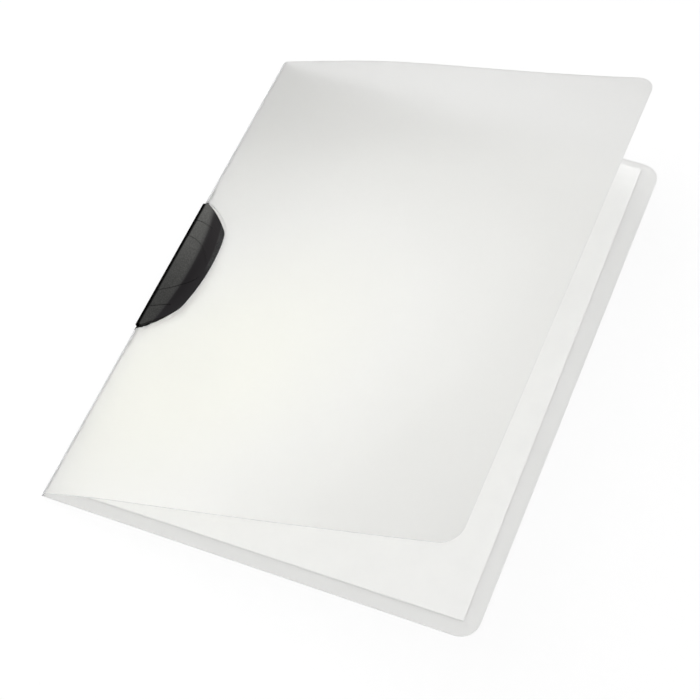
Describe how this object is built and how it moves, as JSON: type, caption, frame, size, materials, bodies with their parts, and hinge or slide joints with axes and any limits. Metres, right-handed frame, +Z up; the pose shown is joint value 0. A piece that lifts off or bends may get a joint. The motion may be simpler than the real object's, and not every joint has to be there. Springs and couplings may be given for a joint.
{
  "type": "clip folder",
  "caption": "A4 clip folder of frosted see-through foil with a black fold-out clip at the spine that holds loose sheets, its front cover sprung open over the paper.",
  "frame": {"origin": "middle of the back cover's underside, on the table", "axes": "+X from the spine to the free edge, +Y up the page along the spine, +Z up from the table"},
  "size_m": [0.2252, 0.31, 0.0839],
  "materials": {
    "frosted_foil": "frosted, see-through",
    "black_clip": "fine grain with a smoother outer half",
    "steel_pin": "drawn wire",
    "white_paper": "uncoated office paper"
  },
  "bodies": {
    "back": {"back_cover": "frosted_foil", "clip_base": "black_clip", "hinge_pin": "steel_pin", "paper_sheet_1": "white_paper", "paper_sheet_2": "white_paper", "paper_sheet_3": "white_paper", "paper_sheet_4": "white_paper", "paper_sheet_5": "white_paper", "paper_sheet_6": "white_paper", "paper_sheet_7": "white_paper", "paper_sheet_8": "white_paper"},
    "spine": {"spine_strip_lower": "frosted_foil", "spine_strip_upper": "frosted_foil"},
    "front": {"front_cover": "frosted_foil"},
    "clip": {"clip_wing": "black_clip"}
  },
  "joints": [
    {"name": "back_crease", "type": "hinge", "parent": "back", "child": "spine", "pos_m": [-0.1125, 0, 0.00025], "axis": [0, -1, 0], "range_deg": [-4, 120]},
    {"name": "front_crease", "type": "hinge", "parent": "spine", "child": "front", "pos_m": [-0.11075, 0, 0.00328], "axis": [0, -1, 0], "range_deg": [-13, 30]},
    {"name": "clip_swing", "type": "hinge", "parent": "back", "child": "clip", "pos_m": [-0.1106, 0, 0.0028], "axis": [0, -1, 0], "range_deg": [0, 160]}
  ]
}
